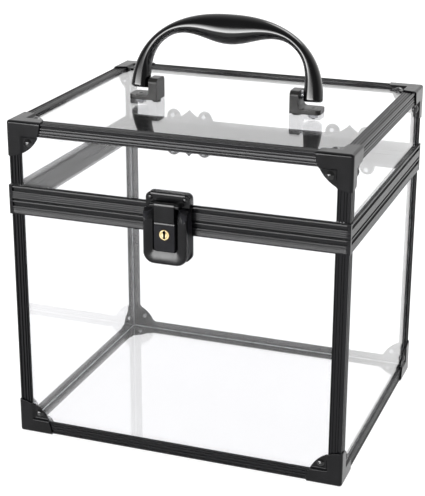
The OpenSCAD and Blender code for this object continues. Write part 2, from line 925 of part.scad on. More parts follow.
module lock_case() {
    color(GLOSS_BLACK)
        difference() {
            on_latch() {
                translate([0, 0, base_t]) {
                    u_rim();
                    lock_block();
                    linear_extrude(eye_wall + latch_gap)
                        translate([-case_open - past, case_bottom + arm_w / 2])
                            square([2 * (case_open + past), body_edge - case_bottom - arm_w / 2]);
                }
            }
            on_latch() {
                // Sloping tops of the arms, with round outer corners
                translate([0, case_top, case_d])
                    rotate([45, 0, 0])
                        cube([far, arm_end * sqrt(2), arm_end * sqrt(2)], center = true);
                for (side = [0, 1])
                    mirror([side, 0, 0])
                        translate([latch_w / 2 - arm_top_r, case_top - arm_top_r, 0])
                            linear_extrude(far)
                                difference() {
                                    square(2 * arm_top_r);
                                    circle(arm_top_r);
                                }
                // Bore of the plug, pocket behind it and the neck for the bolt
                translate([0, plug_z, base_t]) cylinder(r = plug_r + pin_fit, h = far);
                block([-pocket_half, pocket_low, 0], [pocket_half, neck_low, pocket_front]);
                block(
                    [-pocket_half, neck_low - past, bolt_back - bolt_gap],
                    [pocket_half, seam_z + past, bolt_front + bolt_gap]
                );
                // Runner of the bolt in the right arm
                block(
                    [0, bolt_low - bolt_gap, bolt_back - bolt_gap],
                    [bolt_end + bolt_gap, bolt_high + bolt_gap, bolt_front + bolt_gap]
                );
            }
            lock_screw_holes();
        }
}

module lock_base() {
    color(BLACK)
        difference() {
            on_latch() {
                linear_extrude(base_t) base_outline(body_edge);
                translate([0, 0, -skin]) linear_extrude(skin + base_t) base_outline(rim_low);
            }
            lock_screw_holes();
        }
}

module lock_screw_holes() {
    for (at = LOCK_SCREWS)
        on_latch()
            translate([at[0], at[1], -at[2] - past])
                cylinder(r = lock_screw_r + hole_fit, h = at[2] + lock_screw_d + 2 * past);
}

module lock_screws() {
    color(STEEL)
        for (at = LOCK_SCREWS)
            on_latch()
                translate([at[0], at[1], -at[2]]) {
                    cylinder(r = lock_screw_r, h = at[2] + lock_screw_d);
                    difference() {
                        translate([0, 0, -lock_head_h]) cylinder(r = lock_head_r, h = lock_head_h);
                        translate([0, 0, -lock_head_h])
                            cube([lock_head_r, cross_w, lock_head_h], center = true);
                        translate([0, 0, -lock_head_h])
                            cube([cross_w, lock_head_r, lock_head_h], center = true);
                    }
                }
}

// Key plug with a flange behind its bore, a crank pin and a key slot
module key_plug() {
    color(BRASS)
        on_latch()
            difference() {
                union() {
                    translate([0, plug_z, flange_back])
                        cylinder(r = plug_r, h = block_d + past - flange_back);
                    translate([0, plug_z, flange_back]) cylinder(r = flange_r, h = flange_t);
                    translate([crank_x, crank_z, base_t + bolt_gap])
                        cylinder(r = crank_pin_r, h = flange_back + flange_t / 2 - base_t - bolt_gap);
                }
                translate([0, plug_z, block_d]) cube([slot_w, slot_h, 2 * slot_depth], center = true);
                translate([0, plug_z + slot_h / 4, block_d - slot_depth]) cylinder(r = slot_r, h = far);
            }
}

// Flat bolt with a bar through the eye and a tail that the crank pin moves
module lock_bolt() {
    slot_half = crank_pin_r + bolt_gap;
    slot_low = crank_z - slot_half;
    slot_high = plug_z + crank_r + slot_half;
    color(STEEL)
        on_latch()
            translate([0, 0, bolt_back])
                linear_extrude(bolt_t)
                    difference() {
                        union() {
                            translate([bolt_tip, bolt_low]) square([bolt_end - bolt_tip, bolt_h]);
                            translate([crank_x - tail_half, slot_low - tail_wall])
                                square([2 * tail_half, bolt_z - slot_low + tail_wall]);
                        }
                        translate([crank_x - slot_half, slot_low])
                            square([2 * slot_half, slot_high - slot_low]);
                    }
}

// Latch, lid half

// Outline of the keeper from a given height up, with round top corners
module keeper_outline(low) {
    half = latch_w / 2;
    translate([-half, low]) square([latch_w, keeper_top - keeper_r - low]);
    translate([-half + keeper_r, low]) square([latch_w - 2 * keeper_r, keeper_top - low]);
    for (side = [-1, 1]) translate([side * (half - keeper_r), keeper_top - keeper_r]) circle(keeper_r);
}

module keeper_plate() {
    ear_from = hasp_w / 2 + latch_gap;
    deep_low = max(rim_high, keeper_block_low);
    color(GLOSS_BLACK)
        difference() {
            on_latch()
                difference() {
                    union() {
                        linear_extrude(keeper_t) keeper_outline(keeper_low);
                        linear_extrude(keeper_d) keeper_outline(keeper_block_low);
                        translate([0, 0, -skin]) linear_extrude(skin + keeper_d) keeper_outline(deep_low);
                        for (x = [-ear_from - ear_w, ear_from])
                            translate([x, hasp_axis_z, 0]) {
                                translate([0, 0, hasp_axis_d])
                                    rotate([0, 90, 0]) cylinder(r = ear_r, h = ear_w);
                                translate([0, -ear_r, 0]) cube([ear_w, 2 * ear_r, hasp_axis_d]);
                            }
                    }
                    translate([0, keeper_top, keeper_d])
                        rotate([45, 0, 0])
                            cube([far, keeper_bevel * sqrt(2), keeper_bevel * sqrt(2)], center = true);
                    translate([-ear_from - ear_w - past, hasp_axis_z, hasp_axis_d])
                        rotate([0, 90, 0])
                            cylinder(r = hasp_pin_r + hole_fit, h = 2 * (ear_from + ear_w + past));
                }
            on_keeper_rivets() translate([0, 0, -past]) cylinder(r = hole_r, h = keeper_d + inner);
        }
}

// Hasp plate with its rolled knuckle, and the eye that the bolt passes through
module hasp() {
    half = hasp_w / 2;
    eye_low = bolt_low - bolt_gap;
    eye_high = bolt_high + bolt_gap;
    eye_back = bolt_back - bolt_gap;
    color(GLOSS_BLACK)
        on_latch()
            difference() {
                union() {
                    block([-half, hasp_low, hasp_back], [half, hasp_axis_z, hasp_front]);
                    translate([-half, hasp_axis_z, hasp_axis_d])
                        rotate([0, 90, 0]) cylinder(r = hasp_knuckle_r, h = hasp_w);
                    difference() {
                        block(
                            [eye_x, eye_low - eye_wall, eye_back - eye_wall],
                            [eye_x + eye_w, eye_high + eye_wall, hasp_back + past]
                        );
                        block(
                            [eye_x - past, eye_low, eye_back],
                            [eye_x + eye_w + past, eye_high, bolt_front + bolt_gap]
                        );
                    }
                }
                translate([-half - past, hasp_axis_z, hasp_axis_d])
                    rotate([0, 90, 0])
                        cylinder(r = hasp_pin_r + pin_fit, h = hasp_w + 2 * past);
            }
}

module hasp_pin() {
    reach = hasp_w / 2 + latch_gap + ear_w;
    color(STEEL)
        on_latch()
            translate([-reach, hasp_axis_z, hasp_axis_d])
                rotate([0, 90, 0])
                    cylinder(r = hasp_pin_r, h = 2 * reach);
}

// Handle

// Draws for the right bracket and again for the left one
module both_ends() {
    translate([0, box_y, 0]) {
        children();
        mirror([1, 0, 0]) children();
    }
}

// Side view of a bracket: upright, foot and the fillet between them
module bracket_side() {
    translate([upright_in, 0]) square([upright_t, upright_h]);
    translate([upright_in, 0]) square([foot_out - upright_in, foot_t]);
    translate([upright_out, foot_t])
        difference() {
            square(bracket_fillet);
            translate([bracket_fillet, bracket_fillet]) circle(bracket_fillet);
        }
}

// Plan of a bracket, with a rounded foot end
module bracket_plan() {
    translate([upright_in, -bracket_depth / 2])
        square([foot_out - bracket_round - upright_in, bracket_depth]);
    translate([upright_in, -bracket_depth / 2 + bracket_round])
        square([foot_out - upright_in, bracket_depth - 2 * bracket_round]);
    for (side = [-1, 1])
        translate([foot_out - bracket_round, side * (bracket_depth / 2 - bracket_round)])
            circle(bracket_round);
}

// End view of a bracket, with round top corners
module bracket_end() {
    translate([-bracket_depth / 2, 0]) square([bracket_depth, upright_h - bracket_round]);
    translate([-bracket_depth / 2 + bracket_round, 0])
        square([bracket_depth - 2 * bracket_round, upright_h]);
    for (side = [-1, 1])
        translate([side * (bracket_depth / 2 - bracket_round), upright_h - bracket_round])
            circle(bracket_round);
}

module handle_bracket() {
    difference() {
        translate([0, 0, top_z])
            intersection() {
                rotate([90, 0, 0]) linear_extrude(bracket_depth, center = true) bracket_side();
                linear_extrude(upright_h) bracket_plan();
                rotate([90, 0, 90]) linear_extrude(far) bracket_end();
            }
        translate([pin_in, 0, pivot_z]) rotate([0, 90, 0]) cylinder(r = handle_pin_r + hole_fit, h = far);
        translate([upright_screw_x, 0, top_z - past])
            cylinder(r = screw_r + hole_fit, h = upright_bite + past);
        foot_screw(hole_fit);
    }
}

module handle_brackets() {
    color(SATIN_GREY) both_ends() handle_bracket();
}

// Countersunk screw through the foot and the top sheet, grown all round by a clearance
module foot_screw(grow) {
    low = box_h - inner - nut_h - nut_under;
    head_low = top_z + foot_t - screw_head_h;
    translate([foot_screw_x, 0, low]) cylinder(r = screw_r + grow, h = head_low - low + past);
    translate([foot_screw_x, 0, head_low])
        cylinder(r1 = screw_r + grow, r2 = screw_head_r + grow, h = screw_head_h);
}

// Pan-head screw from inside the lid into the upright
module upright_screw() {
    translate([upright_screw_x, 0, box_h - inner - screw_head_h])
        cylinder(r = screw_head_r, h = screw_head_h);
    translate([upright_screw_x, 0, box_h - inner - screw_head_h / 2])
        cylinder(r = screw_r, h = panel_t + upright_bite - 2 * past + screw_head_h / 2);
}

module bracket_screws() {
    color(STEEL)
        both_ends() {
            difference() {
                foot_screw(0);
                translate([foot_screw_x, 0, top_z + foot_t])
                    cube([screw_head_r, cross_w, screw_head_h], center = true);
                translate([foot_screw_x, 0, top_z + foot_t])
                    cube([cross_w, screw_head_r, screw_head_h], center = true);
            }
            upright_screw();
        }
}

module bracket_nuts() {
    color(STEEL)
        both_ends()
            translate([foot_screw_x, 0, box_h - inner - nut_h])
                difference() {
                    cylinder(d = nut_w, h = nut_h, $fn = 6);
                    translate([0, 0, -past]) cylinder(r = screw_r + hole_fit, h = nut_h + 2 * past);
                }
}

module bracket_holes() {
    both_ends()
        for (x = [foot_screw_x, upright_screw_x])
            translate([x, 0, box_h - inner - past])
                cylinder(r = screw_r + hole_fit, h = panel_t + 2 * past);
}

module handle_pins() {
    color(STEEL)
        both_ends() {
            translate([pin_in, 0, pivot_z])
                rotate([0, 90, 0]) cylinder(r = handle_pin_r, h = pin_out - pin_in);
            translate([upright_out, 0, pivot_z])
                rotate([0, 90, 0]) cylinder(r = handle_pin_r + collar_w, h = collar_gap - collar_air);
        }
}

// Blend from 0 to 1 between two angles
function blend(low, high, angle) =
    let (u = min(1, max(0, (angle - low) / (high - low)))) u * u * (3 - 2 * u);
// Swelling of the grip by the angle from the top, 1 in the middle
function swell(angle) = angle < grip_end ? pow(cos(90 * angle / grip_end), 2) : 0;
// A size along the handle, from its values at the grip, the shoulders and the legs
function along_bail(grip, shoulder, leg, angle) =
    shoulder + (grip - shoulder) * swell(angle) + (leg - shoulder) * blend(leg_from, leg_to, angle);
// Signed power, for a section between an ellipse and a rectangle
function round_power(v) = sign(v) * pow(abs(v), 2 / bail_power);

// Ring of points at one angle of the arch: the outer side follows half a squarish ellipse
function bail_ring(angle) =
    let (
        way = [cos(angle), sin(angle)],
        from = pow(pow(abs(way[0]), arch_power) + pow(way[1], arch_power), -1 / arch_power) * way,
        slope = [
            sign(from[0]) * pow(abs(from[0]), arch_power - 1) / bail_a,
            pow(from[1], arch_power - 1) / bail_b
        ],
        normal = slope / norm(slope),
        thick = along_bail(grip_t, shoulder_t, leg_t, abs(90 - angle)),
        deep = along_bail(grip_depth, shoulder_depth, leg_depth, abs(90 - angle)),
        middle = [bail_a * from[0], bail_z + bail_b * from[1]] - normal * thick / 2
    )
    [
        for (s = [0:bail_sides - 1])
            let (
                turn = 360 * (s + 0.5) / bail_sides,
                out = round_power(cos(turn)) * thick / 2,
                side = round_power(sin(turn)) * deep / 2
            )
            [middle[0] + normal[0] * out, side, middle[1] + normal[1] * out]
    ];

// Arch swept through its rings, closed at both ends
module bail() {
    rings = [for (n = [0:bail_rings]) bail_ring(bail_start + (180 - 2 * bail_start) * n / bail_rings)];
    last = bail_rings * bail_sides;
    polyhedron(
        points = [for (ring = rings, point = ring) point],
        faces = concat(
            [
                for (n = [0:bail_rings - 1], s = [0:bail_sides - 1], half = [0, 1])
                    let (
                        a = n * bail_sides + s,
                        b = n * bail_sides + (s + 1) % bail_sides
                    )
                    half == 0 ? [a, b + bail_sides, b] : [a, a + bail_sides, b + bail_sides]
            ],
            [for (s = [1:bail_sides - 2]) [0, s, s + 1]],
            [for (s = [1:bail_sides - 2]) [last, last + s + 1, last + s]]
        )
    );
}

module handle_grip() {
    color(GLOSS_BLACK)
        difference() {
            translate([0, box_y, pivot_z]) rotate([-lean, 0, 0]) translate([0, 0, -pivot_z]) bail();
            both_ends()
                translate([0, 0, pivot_z])
                    rotate([0, 90, 0])
                        cylinder(r = handle_pin_r + pin_fit, h = pin_out + pin_end_gap);
        }
}

bottom_panel();
top_panel();
for (i = [0:3]) {
    body_panel(i);
    lid_panel(i);
    bottom_rail(i);
    top_rail(i);
    body_rim(i);
    lid_rim(i);
}
for (k = [0:3]) {
    body_post(k);
    lid_post(k);
    corner(k, false);
    corner(k, true);
}
body_rivets();
lid_rivets();
body_hinge_leaves();
lid_hinge_leaves();
hinge_pins();
lock_base();
lock_case();
lock_screws();
key_plug();
lock_bolt();
keeper_plate();
hasp();
hasp_pin();
handle_brackets();
handle_pins();
bracket_screws();
bracket_nuts();
handle_grip();
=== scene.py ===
"""Looks of a clear card box: acrylic sheets in a black ribbed frame, a key latch and a swing handle.

Lengths are millimetres until a mesh is made; only the studio and the camera are given in metres.
+X is to the right, the latch faces -Y, +Z is up.
"""

import json
import math

import bmesh
import bpy
import numpy as np
from mathutils import Matrix, Vector


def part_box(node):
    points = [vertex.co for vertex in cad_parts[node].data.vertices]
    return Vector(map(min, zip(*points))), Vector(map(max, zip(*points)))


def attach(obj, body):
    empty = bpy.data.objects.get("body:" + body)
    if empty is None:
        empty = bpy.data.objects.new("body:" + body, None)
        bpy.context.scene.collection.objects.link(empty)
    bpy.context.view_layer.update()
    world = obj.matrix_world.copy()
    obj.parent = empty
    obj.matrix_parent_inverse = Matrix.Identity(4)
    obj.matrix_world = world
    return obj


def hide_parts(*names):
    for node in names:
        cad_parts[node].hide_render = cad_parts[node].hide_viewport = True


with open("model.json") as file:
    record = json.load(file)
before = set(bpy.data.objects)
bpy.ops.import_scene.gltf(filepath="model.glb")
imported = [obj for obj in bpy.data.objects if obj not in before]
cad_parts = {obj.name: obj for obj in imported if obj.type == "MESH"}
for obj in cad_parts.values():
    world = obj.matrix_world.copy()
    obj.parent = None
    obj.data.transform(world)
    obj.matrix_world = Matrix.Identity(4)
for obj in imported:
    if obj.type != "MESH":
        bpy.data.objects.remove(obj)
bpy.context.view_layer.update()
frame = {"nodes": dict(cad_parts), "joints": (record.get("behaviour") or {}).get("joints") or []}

MM = 0.001
SIDES = ("front", "right", "back", "left")
# Each corner with its direction from the middle of the box
CORNERS = {"front_left": (-1, -1), "front_right": (1, -1), "back_left": (-1, 1), "back_right": (1, 1)}
# The two ends of the box, with the body that each belongs to
LEVELS = {"bottom": "body", "top": "lid"}


def node_box(name):
    """Lowest and highest corner of a CAD node, in millimetres."""
    return np.array(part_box(name)) / MM


def joint_place(name):
    """Place of a joint, in millimetres."""
    joint = next(joint for joint in frame["joints"] if joint["name"] == name)
    return np.array(joint["pos_m"]) / MM


# Sizes read from the frame
BOX_LOW = node_box("bottom_corner_front_left")[0]
BOX_HIGH = node_box("top_corner_back_right")[1]
MIDDLE = (BOX_LOW + BOX_HIGH) / 2
HALF = (BOX_HIGH - BOX_LOW) / 2
POST = node_box("body_post_front_left")
CAP_T = POST[0][0] - BOX_LOW[0]
CAP_R = np.ptp(node_box("bottom_corner_front_left")[:, 0])
ANGLE_W = POST[1][0] - POST[0][0]
SKIN = node_box("body_front_panel")[0][1] - BOX_LOW[1]
ANGLE_T = SKIN - CAP_T
SHEET_T = np.ptp(node_box("top_panel")[:, 2])
RIM_DEPTH = np.ptp(node_box("lid_front_rim")[:, 1])
RIM_H = np.ptp(node_box("lid_front_rim")[:, 2])
# Heights of the rims' edges at the seam, where the body's tongue stands above its edge
LID_EDGE = node_box("lid_front_rim")[0][2]
BODY_EDGE = node_box("body_front_rim")[0][2] + RIM_H
PIVOT = joint_place("handle_swing")
PLUG_AXIS = joint_place("key_turn")

# A hair of air between a metal piece and the sheet that it lies on
AIR = 0.03


# Meshes


def lattice(rows, columns, closed):
    """Quads of a grid with that many rows and columns, whose last column joins the first if closed."""
    row = np.arange(rows - 1)[:, None] * columns
    column = np.arange(columns if closed else columns - 1)
    after = (column + 1) % columns
    return np.stack(
        [row + column, row + after, row + columns + after, row + columns + column], axis=-1
    ).reshape(-1, 4)


def tube(rows, columns):
    """Faces of a closed section of that many columns, repeated in rows, with a face over each end."""
    last = (rows - 1) * columns
    ends = [list(range(columns)), list(range(last + columns - 1, last - 1, -1))]
    return lattice(rows, columns, closed=True).tolist() + ends


def piece(name, points, faces, material, body, stands_for=(), sharp=40):
    """Mesh of points in millimetres that rides on a body and may stand for CAD nodes: doubles merged, faces
    turned outwards, and edges steeper than the sharp angle kept crisp."""
    merge_within = 0.0001 * MM
    mesh = bpy.data.meshes.new(name)
    mesh.from_pydata((points * MM).tolist(), [], [list(map(int, face)) for face in faces])
    form = bmesh.new()
    form.from_mesh(mesh)
    bmesh.ops.remove_doubles(form, verts=form.verts, dist=merge_within)
    bmesh.ops.recalc_face_normals(form, faces=form.faces)
    form.to_mesh(mesh)
    form.free()
    mesh.materials.append(material)
    mesh.shade_smooth()
    mesh.set_sharp_from_angle(angle=math.radians(sharp))
    made = bpy.data.objects.new(name, mesh)
    bpy.context.scene.collection.objects.link(made)
    flat = made.modifiers.new("flat_faces", "WEIGHTED_NORMAL")
    flat.keep_sharp = True
    flat.weight = 100
    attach(made, body)
    if stands_for:
        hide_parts(*stands_for)


def rounded(corners, radii, steps=3):
    """Closed outline whose corners are parabolas: a corner P becomes (1-t)^2 S + 2t(1-t) P + t^2 E,
    where S and E lie on the two edges at the corner's radius from P, or short of the edges' middles."""
    most_of_edge = 0.45
    corners = np.asarray(corners, float)
    radii = np.broadcast_to(radii, len(corners))[:, None]
    ends = []
    for turn in (1, -1):
        edge = np.roll(corners, turn, axis=0) - corners
        length = np.linalg.norm(edge, axis=1, keepdims=True)
        ends.append(corners + edge / length * np.minimum(radii, most_of_edge * length))
    t = np.linspace(0, 1, steps)[:, None, None]
    arcs = (1 - t) ** 2 * ends[0] + 2 * t * (1 - t) * corners + t**2 * ends[1]
    return arcs.transpose(1, 0, 2).reshape(-1, 2)


def bar(*rings):
    """Closed sections, each given as its points' places along X with their depths and heights, joined in
    turn. Returns the points, and the faces with both ends closed."""
    points = np.vstack([np.column_stack(ring) for ring in rings])
    return points, tube(len(rings), len(rings[0][0]))


def on_side(points, side):
    """Turns points from a side's own frame (X along it, Y inwards, Z up) by quarter turns round the box."""
    along, depth, height = points.T
    outwards = depth - HALF[1 - side % 2]
    cos, sin = ((1, 0), (0, 1), (-1, 0), (0, -1))[side]
    return np.column_stack(
        [MIDDLE[0] + cos * along - sin * outwards, MIDDLE[1] + sin * along + cos * outwards, height]
    )


def at_corner(points, corner, top):
    """Moves points given by their distances into the box from its three outer planes to a corner."""
    way = np.array([*CORNERS[corner], 1 if top else -1])
    return MIDDLE + way * (HALF - points)


# Materials

# Sockets of a Mix node that mixes colours: its share, the two colours and the result
SHARE, FIRST, SECOND, MIXED = 0, 6, 7, 2


def linear(code):
    """Linear colour of an sRGB hex value."""
    part = np.array([int(code[k : k + 2], 16) for k in (0, 2, 4)]) / 255
    return (*np.where(part <= 0.04045, part / 12.92, ((part + 0.055) / 1.055) ** 2.4), 1.0)


def node(tree, kind, inputs=(), **settings):
    """Adds a node. inputs gives its sockets' values, or the sockets that feed them, and settings its
    properties."""
    made = tree.nodes.new(kind)
    for key, value in settings.items():
        setattr(made, key, value)
    for key, value in dict(inputs).items():
        if isinstance(value, bpy.types.NodeSocket):
            tree.links.new(value, made.inputs[key])
        else:
            made.inputs[key].default_value = value
    return made


def shader(name, **constants):
    """New material with one Principled shader whose constant sockets are set, an underscore standing for a
    space. Returns the material, its tree and the shader."""
    material = bpy.data.materials.new(name)
    material.use_nodes = True
    tree = material.node_tree
    tree.nodes.clear()
    sockets = {socket.replace("_", " "): value for socket, value in constants.items()}
    principled = node(tree, "ShaderNodeBsdfPrincipled", sockets)
    node(tree, "ShaderNodeOutputMaterial", {"Surface": principled.outputs["BSDF"]})
    return material, tree, principled


def feed(tree, principled, **outputs):
    """Links outputs to a shader's sockets, an underscore standing for a space."""
    for socket, output in outputs.items():
        tree.links.new(output, principled.inputs[socket.replace("_", " ")])


def cells(sizes):
    """Mapping scale that makes a noise cell as large as these millimetres: one size, or one for each axis."""
    return tuple(1 / (np.broadcast_to(sizes, 3) * MM))


def finish(tree, principled, colours, roughness, clouds, grain, grain_depth, edge):
    """Surface of a finish: tone and roughness that vary in clouds, a fine grain in the relief and soft edges.
    clouds and grain are the sizes of their noise cells, grain_depth and edge lengths, all in millimetres."""
    place = node(tree, "ShaderNodeTexCoord").outputs["Object"]
    wide = node(tree, "ShaderNodeMapping", {"Vector": place, "Scale": cells(clouds)})
    cloud = node(tree, "ShaderNodeTexNoise", {"Vector": wide.outputs[0], "Scale": 1.0, "Detail": 4.0})
    span = {"Value": cloud.outputs[0], "From Min": 0.3, "From Max": 0.7}
    spread = node(tree, "ShaderNodeMapRange", span)
    mix = {SHARE: spread.outputs[0], FIRST: linear(colours[0]), SECOND: linear(colours[1])}
    tone = node(tree, "ShaderNodeMix", mix, data_type="RGBA").outputs[MIXED]
    gloss = node(tree, "ShaderNodeMapRange", {**span, "To Min": roughness[0], "To Max": roughness[1]})
    close = node(tree, "ShaderNodeMapping", {"Vector": place, "Scale": cells(grain)})
    speck = node(tree, "ShaderNodeTexNoise", {"Vector": close.outputs[0], "Scale": 1.0, "Detail": 2.0})
    soft = node(tree, "ShaderNodeBevel", {"Radius": edge * MM}, samples=6)
    height = {"Height": speck.outputs[0], "Strength": 1.0, "Distance": grain_depth * MM}
    relief = node(tree, "ShaderNodeBump", {**height, "Normal": soft.outputs[0]})
    feed(tree, principled, Base_Color=tone, Roughness=gloss.outputs[0], Normal=relief.outputs[0])


def anodised(axis):
    """Black anodised aluminium extrusion: a dyed oxide skin, so it shines like a dark dielectric, with die
    lines along its length that break the highlights into streaks."""
    name = f"black_anodised_aluminium_along_{axis}"
    material, tree, principled = shader(name, IOR=1.5, Specular_IOR_Level=0.2)
    lengthwise = np.array(list("xyz")) == axis
    finish(
        tree,
        principled,
        colours=("08080a", "101013"),
        roughness=(0.18, 0.28),
        clouds=np.where(lengthwise, 70.0, 0.9),
        grain=np.where(lengthwise, 40.0, 0.35),
        grain_depth=0.004,
        edge=0.04,
    )
    return material


def pressed_steel():
    """Pressed steel with semi-gloss black lacquer: soft edges and a faint orange peel."""
    material, tree, principled = shader("black_lacquered_steel", IOR=1.5, Specular_IOR_Level=0.2)
    finish(
        tree,
        principled,
        colours=("060607", "0d0d0f"),
        roughness=(0.16, 0.26),
        clouds=14,
        grain=1.6,
        grain_depth=0.006,
        edge=0.25,
    )
    return material


def cast_zinc(name, edge):
    """Die-cast zinc in satin black: a little rougher than the lacquer, with a fine pebble from the coat, and
    with edges as soft as the coat and the piece's own shape leave them."""
    material, tree, principled = shader(name, IOR=1.5, Specular_IOR_Level=0.2)
    finish(
        tree,
        principled,
        colours=("070708", "0f0f11"),
        roughness=(0.16, 0.25),
        clouds=9,
        grain=0.9,
        grain_depth=0.003,
        edge=edge,
    )
    return material


def matt_zinc():
    """The lock's casing behind its bead, left in matt black: it takes hardly any light, so that the bead
    stands out."""
    material, tree, principled = shader("matt_black_cast_zinc", IOR=1.5, Specular_IOR_Level=0.05)
    finish(
        tree,
        principled,
        colours=("19191b", "232326"),
        roughness=(0.35, 0.5),
        clouds=9,
        grain=0.9,
        grain_depth=0.004,
        edge=0.6,
    )
    return material


def bracket_metal():
    """Die-cast bracket in dark grey satin coat, rubbed a little lighter in clouds."""
    material, tree, principled = shader("dark_grey_satin_metal", IOR=1.5, Specular_IOR_Level=0.22)
    finish(
        tree,
        principled,
        colours=("191818", "252423"),
        roughness=(0.28, 0.36),
        clouds=7,
        grain=0.7,
        grain_depth=0.004,
        edge=0.5,
    )
    return material


def painted_rivets():
    """Nickel-plated rivets with heads lacquered black: the lacquer covers all that lies no more than a few
    millimetres behind the box's outer planes, so the set tails inside stay bright."""
    lacquer_depth, plating = 3.0, 0.6
    material, tree, principled = shader("rivets_with_black_heads", IOR=1.5)
    place = node(tree, "ShaderNodeTexCoord").outputs["Object"]
    centre, half = tuple(MIDDLE * MM), tuple(HALF * MM)
    centred = node(tree, "ShaderNodeVectorMath", {0: place, 1: centre}, operation="SUBTRACT")
    spread = node(tree, "ShaderNodeVectorMath", {0: centred.outputs[0]}, operation="ABSOLUTE")
    inside = node(tree, "ShaderNodeVectorMath", {0: half, 1: spread.outputs[0]}, operation="SUBTRACT")
    parts = node(tree, "ShaderNodeSeparateXYZ", {0: inside.outputs[0]}).outputs
    nearer = node(tree, "ShaderNodeMath", {0: parts["X"], 1: parts["Y"]}, operation="MINIMUM")
    depth = node(tree, "ShaderNodeMath", {0: nearer.outputs[0], 1: parts["Z"]}, operation="MINIMUM")
    limit = {0: depth.outputs[0], 1: lacquer_depth * MM}
    bare = node(tree, "ShaderNodeMath", limit, operation="GREATER_THAN").outputs[0]
    mix = {SHARE: bare, FIRST: linear("070708"), SECOND: linear("d4d5d7")}
    tone = node(tree, "ShaderNodeMix", mix, data_type="RGBA").outputs[MIXED]
    metal = node(tree, "ShaderNodeMath", {0: bare, 1: plating}, operation="MULTIPLY")
    cloud = node(tree, "ShaderNodeTexNoise", {"Vector": place, "Scale": cells(2.0)[0], "Detail": 3.0})
    gloss = node(tree, "ShaderNodeMapRange", {"Value": cloud.outputs[0], "To Min": 0.08, "To Max": 0.28})
    feed(tree, principled, Base_Color=tone, Metallic=metal.outputs[0], Roughness=gloss.outputs[0])
    return material


def nickel():
    """Nickel-plated steel fasteners: bright, with slight tarnish clouds."""
    material, tree, principled = shader("nickel_plated_steel", Metallic=1.0)
    finish(
        tree,
        principled,
        colours=("b4b5b8", "d2d3d6"),
        roughness=(0.16, 0.3),
        clouds=3,
        grain=0.5,
        grain_depth=0.002,
        edge=0.15,
    )
    return material


def brass():
    """Polished pale brass of the key plug, turned, with painted shade: a darker ring for a groove round its
    face, a dark ring at its edge where it meets the bore, and near black down in the key slot, which is all
    that lies behind the plug's front face."""
    # Painted shade: the groove ring's radius and half width, the radius past which the edge goes dark, and
    # the slot's depths
    groove_r, groove_shade_half, edge_r, slot_shade_from, slot_shade_to = 2.35, 0.22, 3.45, 0.1, 0.35
    material, tree, principled = shader("polished_brass", Metallic=1.0)
    finish(
        tree,
        principled,
        colours=("dac792", "eee2bc"),
        roughness=(0.16, 0.28),
        clouds=2.5,
        grain=0.4,
        grain_depth=0.002,
        edge=0.2,
    )
    tone = principled.inputs["Base Color"].links[0].from_socket
    front = node_box("key_plug")[0][1]
    place = node(tree, "ShaderNodeTexCoord").outputs["Object"]
    parts = node(tree, "ShaderNodeSeparateXYZ", {0: place}).outputs
    across = node(tree, "ShaderNodeMath", {0: parts["X"], 1: PLUG_AXIS[0] * MM}, operation="SUBTRACT")
    along = node(tree, "ShaderNodeMath", {0: parts["Z"], 1: PLUG_AXIS[2] * MM}, operation="SUBTRACT")
    flat = node(tree, "ShaderNodeCombineXYZ", {"X": across.outputs[0], "Y": along.outputs[0]})
    radius = node(tree, "ShaderNodeVectorMath", {0: flat.outputs[0]}, operation="LENGTH").outputs["Value"]
    # Painted shade: a darker ring for the groove, and a dark ring at the edge where the plug meets its bore
    ring = {0: radius, 1: groove_r * MM, 2: groove_shade_half * MM}
    groove = node(tree, "ShaderNodeMath", ring, operation="COMPARE")
    edge = node(tree, "ShaderNodeMath", {0: radius, 1: edge_r * MM}, operation="GREATER_THAN")
    # Painted shade in the key slot, deepening from just behind the front face
    depths = {"From Min": (front + slot_shade_from) * MM, "From Max": (front + slot_shade_to) * MM}
    slot = node(tree, "ShaderNodeMapRange", {"Value": parts["Y"], **depths})
    # Each painted shade goes over the brass in turn
    for share, colour in ((groove, "a98f57"), (edge, "57431f"), (slot, "120d06")):
        mix = {SHARE: share.outputs[0], FIRST: tone, SECOND: linear(colour)}
        tone = node(tree, "ShaderNodeMix", mix, data_type="RGBA").outputs[MIXED]
    feed(tree, principled, Base_Color=tone)
    return material


def moulded_handle():
    """Gloss black ABS moulding: mirror-like, with faint flow clouds in its gloss and sink in its surface."""
    material, tree, principled = shader("gloss_black_abs", IOR=1.5, Specular_IOR_Level=0.35)
    finish(
        tree,
        principled,
        colours=("030304", "060607"),
        roughness=(0.07, 0.13),
        clouds=30,
        grain=12,
        grain_depth=0.01,
        edge=0.3,
    )
    return material


def acrylic():
    """Cast acrylic sheet: clear and polished, with a breath of grey and the haze of handling."""
    clear = {"Base_Color": linear("fafafb"), "IOR": 1.49, "Transmission_Weight": 0.99}
    material, tree, principled = shader("clear_cast_acrylic", **clear)
    place = node(tree, "ShaderNodeTexCoord").outputs["Object"]
    wide = node(tree, "ShaderNodeMapping", {"Vector": place, "Scale": cells(60)})
    haze = node(tree, "ShaderNodeTexNoise", {"Vector": wide.outputs[0], "Scale": 1.0, "Detail": 3.0})
    span = {"Value": haze.outputs[0], "From Min": 0.5, "From Max": 0.8}
    gloss = node(tree, "ShaderNodeMapRange", {**span, "To Min": 0.0, "To Max": 0.03})
    feed(tree, principled, Roughness=gloss.outputs[0])
    return material


def acrylic_cement():
    """Dried solvent cement in the inner corners: milky and soft, so it draws pale lines over dark metal."""
    material, tree, principled = shader("milky_acrylic_cement", IOR=1.49, Transmission_Weight=0.3)
    finish(
        tree,
        principled,
        colours=("c4c8cb", "e2e5e7"),
        roughness=(0.2, 0.4),
        clouds=5,
        grain=0.8,
        grain_depth=0.01,
        edge=0.05,
    )
    return material


